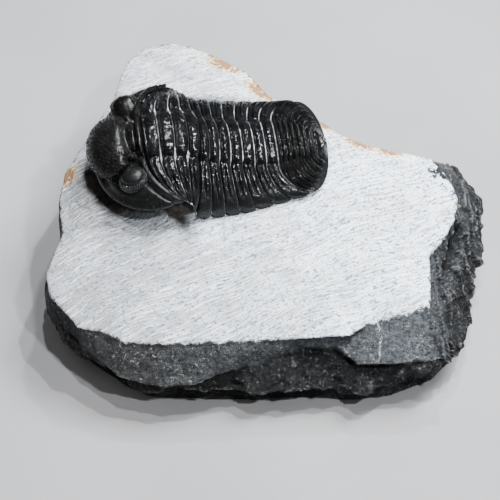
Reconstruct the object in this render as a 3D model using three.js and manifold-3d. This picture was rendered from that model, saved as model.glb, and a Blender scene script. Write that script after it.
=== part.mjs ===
// A phacopid trilobite, partly enrolled, on the block of limestone it was prepared from.
// Millimetres, +Z up, base of the block on Z = 0, origin under the middle of the block.
// The fossil's head points to -X.  Fourteen pieces: the block, the head shield (cephalon),
// eleven thorax segments and the tail shield (pygidium).

import * as THREE from 'three';
import { mergeVertices } from 'three/addons/utils/BufferGeometryUtils.js';
import Module from 'manifold-3d';

const wasm = await Module();
wasm.setup();

// ---------------------------------------------------------------- driving dimensions

// Where the fossil lies: the middle of the joint between thorax and pygidium.
const FOSSIL_ORIGIN = new THREE.Vector3(1.1, 5.9, 26.9);
const FOSSIL_YAW = 7.7;            // degrees the head is turned towards -Y
const FOSSIL_ROLL = 3.4;           // degrees the left side lies lower

// One value for each of the twelve joints, from pygidium to cephalon.
const JOINT_PITCH = [3, 7, 10.5, 13, 15, 16.5, 18, 19.5, 18, 10, 2, -6];
const HALF_WIDTH = [12.7, 13.2, 13.8, 14.4, 14.9, 15.2, 15.5, 15.8, 16.1, 16.3, 16.4, 16.4];
const PLEURA_DROP = [1.8, 2.5, 3.4, 4.4, 5.3, 6, 6.5, 6.8, 6.8, 6.7, 6.6, 6.5];
const RING_RISE = [1.8, 2, 2.2, 2.4, 2.5, 2.6, 2.7, 2.7, 2.7, 2.8, 2.8, 2.8];
const TIP_SWEEP = [6.4, 5, 3.9, 3.2, 2.7, 2.3, 2.1, 2.2, 2.6, 3.2, 4, 5];
// One value for each of the eleven segments, from the pygidium forward.
const SEGMENT_LENGTH = [2.55, 2.6, 2.7, 2.65, 2.5, 2.3, 2.25, 2.5, 2.7, 2.9, 3.05];
const AXIS_HALF_WIDTH = 5.9;       // half the width of the ringed middle lobe
const BROKEN_JOINT = 7;            // the joint where the front half has slipped upward
const BREAK_STEP = 1.3;            // and by how much
const BREAK_WALL = 0.1;            // slope of the rock there, as a share of half a segment
const SWEEP_POWER = 1.8;           // how late the pleurae turn backward
const PLEURA_TURN = 86;            // degrees a pleura turns down by at its tip

const SHELL = 1.0;                 // thickness of the exoskeleton
const GAP = 0.3;                   // clearance between neighbouring pieces
const CORE_DEPTH = 1.4;            // the rock core's surface under the outside of the shell
const SEGMENT_CROWN = 0.35;        // how far the middle of each segment stands proud
const FOOT_LEAN = 0.5;             // share of its turn that a ring's surface is raised along

const PYGIDIUM_LENGTH = 11.2;      // length of the pygidium along its middle
const PYGIDIUM_REACH = 5.0;        // tail end behind the joint's swept tips
const PYGIDIUM_INSET = 0.4;        // its half width is this much less than the joint's
const PYGIDIUM_SINK = 1.0;         // how far its axis runs down to the tail
const PYGIDIUM_TAPER = 0.6;        // how much narrower that lobe ends
const PYGIDIUM_AXIS_LIMIT = 0.8;   // and its greatest share of the half width
const PYGIDIUM_DROP = 0.5;         // how much lower its margin runs at the tail
const TAIL_WIDTH = 0.06;           // width left at the tail, against the front
const PYGIDIUM_CORE_END = 0.9;     // the rock core stops short of the tail
const PYGIDIUM_STATIONS = 9;

const HEAD_PITCH = -15;            // degrees the head shield tips nose down
const HEAD_FACETS = 28;            // facets round each lobe of the head
const CORE_FACETS = 16;
const EYE_FACETS = 14;
const HEAD_MARGIN = -4.9;          // height of the head's rim below its back joint
const RIM_MIDDLE = 2.5;            // middle of that rim, ahead of the joint
const HEAD_HOLLOW = 0.91;          // size of the hollow in the head shield, against its outside
const HEAD_CORE = 0.85;            // size of the rock that fills it
const HEAD_CORE_LIP = 1;           // that rock reaches this far below the rim
const HEAD_REACH = 30;             // further than any part of the head from its joint
// Parts of the head as ellipsoids: centre and radii, forward, left and up from its joint.
const CHEEKS = { centre: [-1.5, 0, HEAD_MARGIN], radii: [13.9, 15.6, 6.1] };
const GLABELLA = { centre: [6.6, 0, -1.6], radii: [6.3, 8, 4.9] };
const GLABELLA_BASE = { centre: [2.6, 0, -0.8], radii: [4, 5.4, 3.4] };
const OCCIPITAL_RING = { centre: [0.6, 0, -0.4], radii: [1.3, 5.6, 3.1] };
const EYE = { centre: [3.3, 9.6, -0.8], radii: [3.2, 2.6, 2.8] };

// The block: its outlines at four levels, matched point for point, anticlockwise from
// the front left corner.  Each point is [x, y, z].
const TOP_EDGE = [
  [-43.5, -30, 16], [-39.5, -35, 16], [-35, -35.5, 16], [-30, -38.5, 16],
  [-24, -39, 16], [-12, -38.5, 16], [-1, -38, 16], [8, -37.5, 16],
  [16.5, -37, 16], [20, -34, 16], [26.5, -32, 16], [33, -29.5, 16],
  [33.5, -24.5, 16.5], [33.5, -17, 17.3], [37.5, -12, 18], [39.5, -8, 18.3],
  [40.5, -2.5, 18.8], [38.5, 3, 19.5], [35, 7.5, 20], [27.5, 9, 20.5],
  [21, 10.5, 21], [15.5, 13, 21.5], [10, 17.5, 22], [0, 24, 22],
  [-5, 31, 22], [-12, 36, 22], [-17.5, 39, 22], [-22, 40, 22],
  [-27.5, 39, 22], [-31.5, 34.5, 22], [-33, 30, 22], [-34.5, 23, 22],
  [-39.5, 11.5, 22], [-44, 3, 20.5], [-45, -4, 19.5], [-44, -12.5, 18.7],
  [-47, -22, 17.2], [-46, -27, 16.6],
];
const SHOULDER = [
  [-43, -32, 11], [-38.5, -37, 11.5], [-35.5, -40, 11], [-31.5, -43.5, 10],
  [-26, -45.2, 9.5], [-15, -45.2, 9.5], [-3, -40, 11], [6, -38, 13],
  [13.5, -38.3, 13.5], [18, -41.5, 12], [26, -41.3, 12], [37.5, -39.3, 11.5],
  [37.8, -34, 12], [37.5, -26, 12.5], [42, -14, 12.5], [44, -8, 13],
  [44.5, -2, 14], [43.5, 6, 14], [40, 11.5, 14], [31, 12.5, 14],
  [24, 14, 15], [18.5, 17, 15], [13, 21, 15], [3, 27, 15],
  [-2.5, 33.5, 15], [-10.5, 39, 15], [-17, 42, 15], [-22.5, 43, 15],
  [-29, 41, 15], [-32.3, 35.5, 15], [-33.8, 31, 15], [-35.2, 23.5, 15],
  [-40.3, 12, 15], [-44.6, 3, 14], [-45.6, -4, 13.5], [-44.8, -12.5, 12.5],
  [-47.6, -22, 11.5], [-46.5, -28, 11],
];
const BELLY = [
  [-43.5, -32, 6.5], [-40, -35.5, 6.5], [-36.5, -38, 6.5], [-32.5, -41.5, 6.5],
  [-27, -44, 6.5], [-14, -45, 6.5], [-3, -45, 6.5], [6, -44.5, 6.5],
  [13, -44.8, 6.5], [18.5, -45.2, 6.5], [27, -44, 6.5], [36.5, -39.8, 6.5],
  [41.5, -34, 6.5], [44, -27, 7], [45.5, -16, 7], [47, -10, 7],
  [48, -2, 7], [47.5, 7, 7], [44, 14.5, 7], [33, 16, 7],
  [26, 18.5, 7], [20, 21.5, 7], [14.5, 25, 7], [4, 30, 7],
  [-2, 36, 7], [-10.5, 41, 7], [-17, 44, 7], [-22.5, 45.2, 7],
  [-29, 42.5, 7], [-32.5, 36, 7], [-34, 31, 7], [-35.5, 23.5, 7],
  [-40.8, 12, 7], [-45, 3, 7], [-46.5, -4, 7], [-47.5, -12, 7],
  [-48, -20, 7], [-47, -26, 6.5],
];
const BASE_SCALE = 0.93;           // the block undercuts from its belly to its flat base
// The prepared surface rises from the top edge to an oval round the fossil's foot.
const FOOT = { x: -12, y: 4, halfLength: 26, halfWidth: 16, z: 23.3, tilt: 0.06 };
const TOP_RINGS = 3;
const TOP_EASE = 1.6;              // how quickly that surface levels out
const CORE_FLOOR = 17;             // the core under the fossil reaches down into the block
const ROOM_HEIGHT = 4;             // space kept for the thorax when the head is cut
const ROOM_LENGTH = 20;
const CORE_OVERLAP = 0.3;          // how far the head's core runs into the thorax's
const CLEAR_TOP = 45;              // the rock is cleared away above the shells, up to here
const NECK_DEPTH = 16;             // and its depth below the rim
const NECK_SCALE = 0.93;           // the neck of rock that holds the head, against its rim
const WELD = 1e-4;                 // vertices this close are one

// ---------------------------------------------------------------- materials

const LIMESTONE = new THREE.MeshStandardMaterial({ color: 0xb9bdbf, roughness: 0.9, metalness: 0 });

const SHIELD_ROUGHNESS = 0.35;
const THORAX_ROUGHNESS = 0.3;

function blackCalcite(roughness) {
  return new THREE.MeshStandardMaterial({ color: 0x17181b, roughness, metalness: 0 });
}

// ---------------------------------------------------------------- the fossil's own frame

const radians = THREE.MathUtils.degToRad;
const FORWARD = new THREE.Vector3(-Math.cos(radians(FOSSIL_YAW)), -Math.sin(radians(FOSSIL_YAW)), 0);
const LEVEL_LEFT = new THREE.Vector3(Math.sin(radians(FOSSIL_YAW)), -Math.cos(radians(FOSSIL_YAW)), 0);
const UP = new THREE.Vector3(0, 0, 1).applyAxisAngle(FORWARD, -radians(FOSSIL_ROLL));
const LEFT = LEVEL_LEFT.clone().applyAxisAngle(FORWARD, -radians(FOSSIL_ROLL));

function fromBody(along, left, up) {
  return FOSSIL_ORIGIN.clone()
    .addScaledVector(FORWARD, along)
    .addScaledVector(LEFT, left)
    .addScaledVector(UP, up);
}

// The chain of joints in the fossil's middle plane, each segment as long as its own length
// and pitched by the mean of its two joints.
const joints = [{ along: 0, up: 0 }];
SEGMENT_LENGTH.forEach((length, k) => {
  const pitch = radians((JOINT_PITCH[k] + JOINT_PITCH[k + 1]) / 2);
  const step = k === BROKEN_JOINT ? BREAK_STEP : 0;
  joints.push({
    along: joints[k].along + length * Math.cos(pitch),
    up: joints[k].up + step + length * Math.sin(pitch),
  });
});
const HEAD_JOINT = joints[joints.length - 1];

const lerp = THREE.MathUtils.lerp;

// Cross-section of segment k at a share t of its length, t from -1 at its back to 1.
function stationOf(k, t) {
  const share = (t + 1) / 2;
  const between = (list) => lerp(list[k], list[k + 1], share);
  const step = k === BROKEN_JOINT ? BREAK_STEP : 0;
  return {
    along: lerp(joints[k].along, joints[k + 1].along, share),
    up: lerp(joints[k].up + step, joints[k + 1].up, share),
    pitch: radians(between(JOINT_PITCH)),
    halfWidth: between(HALF_WIDTH),
    axisHalfWidth: AXIS_HALF_WIDTH,
    drop: between(PLEURA_DROP),
    rise: between(RING_RISE),
    sweep: between(TIP_SWEEP),
    spread: 1,
  };
}

// Places along a section, from the right tip to the left one.  Whole numbers of steps on the
// ring and on each pleura; side is -1 or 1, turn is the angle the surface has turned by.
const RING_STEPS = 6;
const PLEURA_STEPS = 4;

function sectionPlaces() {
  const places = [];
  for (let i = PLEURA_STEPS; i > 0; i--) places.push({ side: -1, onRing: false, share: i / PLEURA_STEPS });
  for (let i = 0; i <= RING_STEPS; i++) {
    const across = (2 * i) / RING_STEPS - 1;
    places.push({ side: Math.sign(across) || 1, onRing: true, share: Math.abs(across) });
  }
  for (let i = 1; i <= PLEURA_STEPS; i++) places.push({ side: 1, onRing: false, share: i / PLEURA_STEPS });
  return places;
}

// A point of the body's surface at a section's place, raised along the surface normal.
function bodyPoint(s, place, raise) {
  let across;
  let height;
  let turn;
  let sweep = 0;
  if (place.onRing) {
    turn = place.share * Math.PI / 2;
    across = s.axisHalfWidth * Math.sin(turn);
    height = s.rise * Math.cos(turn);
  } else {
    turn = place.share * radians(PLEURA_TURN);
    across = s.axisHalfWidth + (s.halfWidth - s.axisHalfWidth) * Math.sin(turn);
    height = -s.drop * (1 - Math.cos(turn));
    sweep = s.sweep * place.share ** SWEEP_POWER;
  }
  // the ring's foot meets the pleura in a furrow, so both are raised straight up there
  const lean = place.onRing ? turn * place.share * FOOT_LEAN : turn;
  across += raise * Math.sin(lean) * s.spread;
  height += raise * Math.cos(lean);
  const along = s.along - sweep * Math.cos(s.pitch) - height * Math.sin(s.pitch);
  const up = s.up - sweep * Math.sin(s.pitch) + height * Math.cos(s.pitch);
  return fromBody(along, place.side * across, up);
}

// ---------------------------------------------------------------- closed meshes from loops

// Joins loops of equal length into one closed skin.  paired loops are an outer row followed
// by the inner row backwards, and close in a strip; the others close round a middle point.
function skin(loops, paired) {
  const size = loops[0].length;
  const points = loops.flat();
  const faces = [];
  const quad = (a, b, c, d) => faces.push([a, b, c], [a, c, d]);
  for (let r = 0; r + 1 < loops.length; r++) {
    for (let i = 0; i < size; i++) {
      const next = (i + 1) % size;
      quad(r * size + i, r * size + next, (r + 1) * size + next, (r + 1) * size + i);
    }
  }
  const top = (loops.length - 1) * size;
  if (paired) {
    for (let i = 0; i + 1 < size / 2; i++) {
      const opposite = size - 1 - i;
      quad(opposite, opposite - 1, i + 1, i);
      quad(top + i, top + i + 1, top + opposite - 1, top + opposite);
    }
  } else {
    const middle = (loop) => loop.reduce((sum, p) => sum.add(p), new THREE.Vector3()).divideScalar(size);
    points.push(middle(loops[0]), middle(loops[loops.length - 1]));
    for (let i = 0; i < size; i++) {
      const next = (i + 1) % size;
      faces.push([points.length - 2, next, i]);
      faces.push([points.length - 1, top + i, top + next]);
    }
  }
  const geometry = new THREE.BufferGeometry().setFromPoints(points);
  geometry.setIndex(faces.flat());
  return geometry;
}

function toSolid(geometry) {
  const plain = geometry.clone();
  plain.deleteAttribute('normal');
  plain.deleteAttribute('uv');
  const merged = mergeVertices(plain, WELD);
  return new wasm.Manifold(new wasm.Mesh({
    numProp: 3,
    vertProperties: Float32Array.from(merged.attributes.position.array),
    triVerts: Uint32Array.from(merged.index.array),
  }));
}

function toGeometry(solid) {
  const mesh = solid.getMesh();
  const geometry = new THREE.BufferGeometry();
  geometry.setAttribute('position', new THREE.BufferAttribute(mesh.vertProperties, 3));
  geometry.setIndex(new THREE.BufferAttribute(mesh.triVerts, 1));
  return geometry;
}

// A loop round the thickness of a shell: outer row, then the inner row backwards.
function shellLoop(section, outer, inner) {
  const places = sectionPlaces();
  const row = (raise) => places.map((place) => bodyPoint(section, place, raise));
  return [...row(outer), ...row(inner).reverse()];
}

// A loop round the open space above an inner surface, as wide at its ends as the outer one.
function clearanceLoop(inner, outer) {
  const lip = (i) => new THREE.Vector3(outer[i].x, outer[i].y, inner[i].z);
  const below = [lip(0), ...inner, lip(inner.length - 1)];
  const above = below.map((p) => new THREE.Vector3(p.x, p.y, CLEAR_TOP));
  return [...above, ...below.reverse()];
}

// A loop from a row of the surface down to a level floor inside the block.
function coreLoop(row) {
  return [...row, ...row.map((p) => new THREE.Vector3(p.x, p.y, CORE_FLOOR)).reverse()];
}

// ---------------------------------------------------------------- thorax segments

function segmentShell(k) {
  const end = 1 - GAP / SEGMENT_LENGTH[k];
  const loops = [
    shellLoop(stationOf(k, end), 0, -SHELL),
    shellLoop(stationOf(k, 0), SEGMENT_CROWN, -SHELL),
    shellLoop(stationOf(k, -end), 0, -SHELL),
  ];
  return skin(loops, true);
}

// ---------------------------------------------------------------- pygidium

// Section of the pygidium at a share t of its length, 0 at the thorax joint and 1 at the tail,
// grown by out.  Its lines leave the axis and swing back to the rounded margin, as its ribs do,
// and it fits between the swept tips of the last segment.
function pygidiumStation(t, out) {
  const turn = Math.max(t, 0) * Math.PI / 2;
  const front = stationOf(0, -1);
  const middleBack = PYGIDIUM_LENGTH * t;
  const marginBack = front.sweep + (PYGIDIUM_REACH + out) * Math.sin(turn);
  const spread = Math.max(Math.cos(turn), TAIL_WIDTH);
  const halfWidth = (front.halfWidth - PYGIDIUM_INSET) * spread;
  return {
    along: -middleBack,
    up: -PYGIDIUM_SINK * t * t,
    pitch: front.pitch * (1 - t),
    halfWidth,
    axisHalfWidth: Math.min(AXIS_HALF_WIDTH * (1 - PYGIDIUM_TAPER * t), PYGIDIUM_AXIS_LIMIT * halfWidth),
    drop: front.drop + PYGIDIUM_DROP * t,
    rise: front.rise * (1 - t * t),
    sweep: marginBack - middleBack,
    spread,
  };
}

function pygidiumShell() {
  const places = sectionPlaces();
  const loops = [];
  for (let i = 0; i < PYGIDIUM_STATIONS; i++) {
    const t = lerp(GAP / 2 / PYGIDIUM_LENGTH, 1, i / (PYGIDIUM_STATIONS - 1));
    const row = (out) => places.map((place) => bodyPoint(pygidiumStation(t, out), place, out));
    loops.push([...row(0), ...row(-SHELL).reverse()]);
  }
  return skin(loops, true);
}

// ---------------------------------------------------------------- head shield

// Head coordinates, forward, left and up from the joint, turned nose down.
function fromHead(forward, left, up) {
  const pitch = radians(HEAD_PITCH);
  return fromBody(
    HEAD_JOINT.along + forward * Math.cos(pitch) - up * Math.sin(pitch),
    left,
    HEAD_JOINT.up + forward * Math.sin(pitch) + up * Math.cos(pitch),
  );
}

// size shrinks the whole head towards the middle of its rim.
function headEllipsoid({ centre, radii }, size, facets, side = 1) {
  const geometry = new THREE.SphereGeometry(1, facets, facets / 2);
  const position = geometry.attributes.position;
  const pivot = [RIM_MIDDLE, 0, HEAD_MARGIN];
  for (let i = 0; i < position.count; i++) {
    const local = [
      centre[0] + radii[0] * position.getX(i),
      side * centre[1] - radii[1] * position.getZ(i),
      centre[2] + radii[2] * position.getY(i),
    ];
    const p = fromHead(...local.map((value, axis) => pivot[axis] + size * (value - pivot[axis])));
    position.setXYZ(i, p.x, p.y, p.z);
  }
  return toSolid(geometry);
}

// A slab in head coordinates between two heights, much wider than the head.
function headSlab(low, high) {
  const corners = [[-1, -1], [1, -1], [1, 1], [-1, 1]].map((corner) => corner.map((v) => v * HEAD_REACH));
  const loop = (up) => corners.map(([forward, left]) => fromHead(forward, left, up));
  return toSolid(skin([loop(low), loop(high)], false));
}

// All the space behind the front joint of the first segment, moved forward by clearance.
function thoraxRoom(clearance) {
  const last = SEGMENT_LENGTH.length - 1;
  const front = stationOf(last, 1 + (2 * clearance) / SEGMENT_LENGTH[last]);
  const back = { ...front, along: front.along - ROOM_LENGTH };
  const row = (section) => sectionPlaces().map((place) => bodyPoint(section, place, ROOM_HEIGHT));
  return toSolid(skin([coreLoop(row(front)), coreLoop(row(back))], true));
}

// detail is the number of facets round each lobe.
function headBody(size, detail) {
  return [CHEEKS, GLABELLA, GLABELLA_BASE, OCCIPITAL_RING]
    .map((lobe) => headEllipsoid(lobe, size, detail))
    .reduce((body, lobe) => body.add(lobe));
}

function cephalonSolid() {
  const eyes = headEllipsoid(EYE, 1, EYE_FACETS).add(headEllipsoid(EYE, 1, EYE_FACETS, -1));
  return headBody(1, HEAD_FACETS).add(eyes)
    .intersect(headSlab(HEAD_MARGIN, HEAD_REACH))
    .subtract(headBody(HEAD_HOLLOW, CORE_FACETS))
    .subtract(thoraxRoom(GAP / 2));
}

// ---------------------------------------------------------------- block of limestone

function blockSolid() {
  const base = BELLY.map(([x, y]) => new THREE.Vector3(x * BASE_SCALE, y * BASE_SCALE, 0));
  const loops = [base, ...[BELLY, SHOULDER, TOP_EDGE].map((ring) => ring.map((p) => new THREE.Vector3(...p)))];
  const foot = TOP_EDGE.map(([x, y]) => {
    const turn = Math.atan2((y - FOOT.y) / FOOT.halfWidth, (x - FOOT.x) / FOOT.halfLength);
    const rise = FOOT.tilt * FOOT.halfWidth * Math.sin(turn);
    return new THREE.Vector3(
      FOOT.x + FOOT.halfLength * Math.cos(turn),
      FOOT.y + FOOT.halfWidth * Math.sin(turn),
      FOOT.z + rise,
    );
  });
  for (let r = 1; r <= TOP_RINGS; r++) {
    const share = r / TOP_RINGS;
    loops.push(TOP_EDGE.map(([x, y, z], i) => new THREE.Vector3(
      lerp(x, foot[i].x, share),
      lerp(y, foot[i].y, share),
      lerp(z, foot[i].z, 1 - (1 - share) ** TOP_EASE),
    )));
  }
  return toSolid(skin(loops, false));
}

// Sections at every joint from the head back to the pygidium, two of them at the break.
function jointSections() {
  const last = SEGMENT_LENGTH.length - 1;
  const sections = [stationOf(last, 1)];
  for (let k = last; k >= 0; k--) {
    if (k === BROKEN_JOINT) sections.push(stationOf(k, BREAK_WALL - 1), stationOf(k - 1, 1));
    else sections.push(stationOf(k, -1));
  }
  return sections;
}

// For each section from head to tail, a function that gives its row of points at a depth.
function bodyRows(fit, tailEnd) {
  const places = sectionPlaces();
  const rowOf = (sectionAt) => (out) => places.map((place) => bodyPoint(fit(sectionAt(out)), place, out));
  const rows = jointSections().map((section) => rowOf(() => section));
  for (let i = 1; i < PYGIDIUM_STATIONS; i++) {
    const t = tailEnd * i / (PYGIDIUM_STATIONS - 1);
    rows.push(rowOf((out) => pygidiumStation(t, out)));
  }
  return rows;
}

// The space the shells take in the block, open upward, with room round their tips.
function bodyClearance() {
  const widened = (section) => ({
    ...section,
    halfWidth: section.halfWidth + GAP * section.spread,
    drop: section.drop + GAP,
  });
  const loops = bodyRows(widened, 1).map((row) => clearanceLoop(row(-SHELL - GAP), row(GAP)));
  return toSolid(skin(loops, true));
}

// The rock inside the fossil, and the neck under the head.
function coreSolid() {
  const neck = {
    centre: CHEEKS.centre,
    radii: CHEEKS.radii.map((radius, axis) => (axis < 2 ? NECK_SCALE * radius : NECK_DEPTH)),
  };
  const bodyLoops = bodyRows((section) => section, PYGIDIUM_CORE_END).map((row) => coreLoop(row(-CORE_DEPTH)));
  return headBody(HEAD_CORE, CORE_FACETS)
    .intersect(headSlab(HEAD_MARGIN - HEAD_CORE_LIP, HEAD_REACH))
    .add(headEllipsoid(neck, 1, HEAD_FACETS).intersect(headSlab(-HEAD_REACH, HEAD_MARGIN - GAP)))
    .subtract(thoraxRoom(-CORE_OVERLAP))
    .add(toSolid(skin(bodyLoops, true)));
}

function matrixSolid() {
  return blockSolid().subtract(bodyClearance()).add(coreSolid());
}

// ---------------------------------------------------------------- the scene graph

function piece(name, geometry, material) {
  const mesh = new THREE.Mesh(geometry, material);
  mesh.name = name;
  return mesh;
}

const fossil = new THREE.Group();
fossil.add(piece('cephalon', toGeometry(cephalonSolid()), blackCalcite(SHIELD_ROUGHNESS)));
for (let k = 0; k < SEGMENT_LENGTH.length; k++) {
  const number = String(SEGMENT_LENGTH.length - k).padStart(2, '0');
  fossil.add(piece(`thorax_segment_${number}`, segmentShell(k), blackCalcite(THORAX_ROUGHNESS)));
}
fossil.add(piece('pygidium', pygidiumShell(), blackCalcite(SHIELD_ROUGHNESS)));

const trilobite = new THREE.Group();
trilobite.add(piece('matrix', toGeometry(matrixSolid()), LIMESTONE));
trilobite.add(fossil);

export default trilobite;
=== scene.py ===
"""A phacopid trilobite, partly enrolled, on the block of limestone it was prepared from.

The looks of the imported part.  Metres, +Z up, base of the block on Z = 0, head to -X.  Shapes
are worked out in millimetres and scaled when a mesh is made.
"""

import math

import bmesh
import bpy
import numpy as np
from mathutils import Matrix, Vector, kdtree, noise


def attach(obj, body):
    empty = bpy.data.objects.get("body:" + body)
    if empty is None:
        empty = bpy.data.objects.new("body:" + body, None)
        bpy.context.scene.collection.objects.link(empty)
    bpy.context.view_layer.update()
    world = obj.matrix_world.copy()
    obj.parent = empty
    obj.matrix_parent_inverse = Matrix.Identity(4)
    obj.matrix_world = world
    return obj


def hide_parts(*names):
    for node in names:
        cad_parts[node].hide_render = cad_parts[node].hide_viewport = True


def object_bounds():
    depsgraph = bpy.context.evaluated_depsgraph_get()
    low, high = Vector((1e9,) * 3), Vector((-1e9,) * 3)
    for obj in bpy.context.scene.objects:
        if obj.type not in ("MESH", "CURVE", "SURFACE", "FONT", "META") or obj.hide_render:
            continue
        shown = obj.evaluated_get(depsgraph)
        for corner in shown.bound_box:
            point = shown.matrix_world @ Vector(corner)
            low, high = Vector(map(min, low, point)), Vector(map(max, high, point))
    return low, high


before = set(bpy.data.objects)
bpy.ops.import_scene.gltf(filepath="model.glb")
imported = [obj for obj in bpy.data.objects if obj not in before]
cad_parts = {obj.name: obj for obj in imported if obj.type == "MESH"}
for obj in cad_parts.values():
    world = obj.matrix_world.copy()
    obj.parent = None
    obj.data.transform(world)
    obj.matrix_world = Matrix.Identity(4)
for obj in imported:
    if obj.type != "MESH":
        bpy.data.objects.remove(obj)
CAD_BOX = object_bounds()
MM = 0.001

# ---------------------------------------------------------------- block of limestone
# A slab of hard, nearly black Devonian limestone, split with a hammer.  Round the fossil its top
# was cut away with an air abrasive, which leaves it white and finely scratched.  The sides and
# base keep the broken face of the stone, dark grey with pale crystals of calcite.

ROCK_GRAIN = 0.55                  # edge length of the rock's mesh
# Outline of the abraded top, anticlockwise from the front left corner, with its height.
GROUND_EDGE = np.array([
    (-43.5, -30, 16), (-39.5, -35, 16), (-35, -35.5, 16), (-30, -38.5, 16), (-24, -39, 16),
    (-12, -38.5, 16), (-1, -38, 16), (8, -37.5, 16), (16.5, -37, 16), (20, -34, 16),
    (26.5, -32, 16), (33, -29.5, 16), (33.5, -24.5, 16.5), (33.5, -17, 17.3), (37.5, -12, 18),
    (39.5, -8, 18.3), (40.5, -2.5, 18.8), (38.5, 3, 19.5), (35, 7.5, 20), (27.5, 9, 20.5),
    (21, 10.5, 21), (15.5, 13, 21.5), (10, 17.5, 22), (0, 24, 22), (-5, 31, 22),
    (-12, 36, 22), (-17.5, 39, 22), (-22, 40, 22), (-27.5, 39, 22), (-31.5, 34.5, 22),
    (-33, 30, 22), (-34.5, 23, 22), (-39.5, 11.5, 22), (-44, 3, 20.5), (-45, -4, 19.5),
    (-44, -12.5, 18.7), (-47, -22, 17.2), (-46, -27, 16.6),
])
# The arris between the bevel round that top and the undercut sides.
ARRIS = np.array([
    (-46.5, -28, 11), (-43, -32, 11), (-38.5, -37, 11.5), (-35.5, -40, 11), (-31.5, -43.5, 10),
    (-26, -45.2, 9.5), (-15, -45.2, 9.5), (-3, -40, 11), (6, -38, 13), (13.5, -38.3, 13.5),
    (18, -41.5, 12), (26, -41.3, 12), (37.5, -39.3, 11.5), (37.8, -34, 12), (37.5, -26, 12.5),
    (42, -14, 12.5), (44.5, -2, 14), (40, 11.5, 14), (18.5, 17, 15), (3, 27, 15),
    (-10.5, 39, 15), (-22.5, 43, 15), (-33.8, 31, 15), (-40.3, 12, 15), (-45.6, -4, 13.5),
    (-47.6, -22, 11.5),
])
CHIP_SIZE = 7.5                    # mean width of the scars the hammer left
CHIP_DEPTH = 2.8                   # from their ridges to their middles, on the undercut sides
BEVEL_DEPTH = 0.5                  # and on the bevel
CLEFT = np.array([(42, -9, 15.7), (37.5, -21, 14.2)])   # a split along the bedding, on the right
CLEFT_DEPTH = 2.9
CLEFT_WIDTH = 1.4
LAYER_PITCH = 2.3                  # thickness of the layers that show as steps there
LAYER_STEP = 1.3
LAYER_NORMAL = (0.93, 0.12, 0.35)
# Places on the rear edges where iron has stained the stone: x, y, radius.
RUST_SPOTS = (
    (-10, 33.5, 5), (-1.5, 25, 5), (20, 11, 4.5), (26, 9.5, 4), (12, 16, 3.5), (-44, 2, 3),
)
# Places on the right rear edge where the abrasive missed the dark stone.
BARE_SPOTS = ((36.5, 4, 2.2), (38.5, 2, 2.2), (40.3, -1, 2.0))
SIDE_LIMIT = 0.8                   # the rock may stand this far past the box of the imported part
CORE_HEIGHT = 24.2                 # rock above this is the core that fills the shells


def smooth(low, high, x):
    t = np.clip((x - low) / (high - low), 0, 1)
    return t * t * (3 - 2 * t)


def bell(x, middle, width):
    return np.exp(-(((x - middle) / width) ** 2))


def coordinates(mesh, what="vertices", name="co"):
    found = np.zeros(3 * len(getattr(mesh, what)))
    getattr(mesh, what).foreach_get(name, found)
    return found.reshape(-1, 3)


def edge_distance(points, outline):
    """How far points lie inside an outline, seen from above, and the outline's height there."""
    nearest = np.full(len(points), np.inf)
    level = np.zeros(len(points))
    inside = np.zeros(len(points), bool)
    for start, end in zip(outline, np.roll(outline, -1, axis=0)):
        side = end - start
        share = np.clip((points[:, :2] - start[:2]) @ side[:2] / (side[:2] @ side[:2]), 0, 1)
        foot = start + share[:, None] * side
        gap = np.hypot(*(points - foot)[:, :2].T)
        closer = gap < nearest
        nearest[closer], level[closer] = gap[closer], foot[closer, 2]
        between = (start[1] > points[:, 1]) != (end[1] > points[:, 1])
        reach = start[0] + side[0] * (points[:, 1] - start[1]) / (side[1] or 1)
        inside ^= between & (points[:, 0] < reach)
    return np.where(inside, nearest, -nearest), level


def roughness_of(points, size, octaves):
    """Fractal noise at each point, about -1 to 1, with features of the given size."""
    return np.array([noise.fractal(Vector(p) / size, 0.9, 2.1, octaves) for p in points])


def spots(points, places):
    marked = np.zeros(len(points))
    for x, y, radius in places:
        marked = np.maximum(marked, bell(np.hypot(points[:, 0] - x, points[:, 1] - y), 0, radius))
    return marked


def put(mesh, name, values):
    attribute = mesh.attributes.new(name, "FLOAT", "POINT")
    attribute.data.foreach_set("value", np.asarray(values, np.float32))


def add_piece(mesh, slot, material, *nodes):
    """Puts a finished mesh in the scene as a piece of the fossil or its rock."""
    mesh.materials.clear()
    mesh.materials.append(material)
    piece = bpy.data.objects.new(mesh.name, mesh)
    bpy.context.scene.collection.objects.link(piece)
    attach(piece, "root")
    if nodes:
        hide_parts(*nodes)
    return piece


def fine_copy(node, voxel):
    """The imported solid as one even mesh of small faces."""
    merged = bmesh.new()
    merged.from_mesh(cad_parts[node].data)
    bmesh.ops.remove_doubles(merged, verts=merged.verts, dist=1e-3 * MM)
    mesh = bpy.data.meshes.new(node + "_merged")
    merged.to_mesh(mesh)
    merged.free()
    source = bpy.data.objects.new(mesh.name, mesh)
    bpy.context.scene.collection.objects.link(source)
    remesh = source.modifiers.new("voxels", "REMESH")
    remesh.mode, remesh.voxel_size = "VOXEL", voxel * MM
    graph = bpy.context.evaluated_depsgraph_get()
    made = bpy.data.meshes.new_from_object(source.evaluated_get(graph))
    bpy.data.objects.remove(source)
    return made


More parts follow.
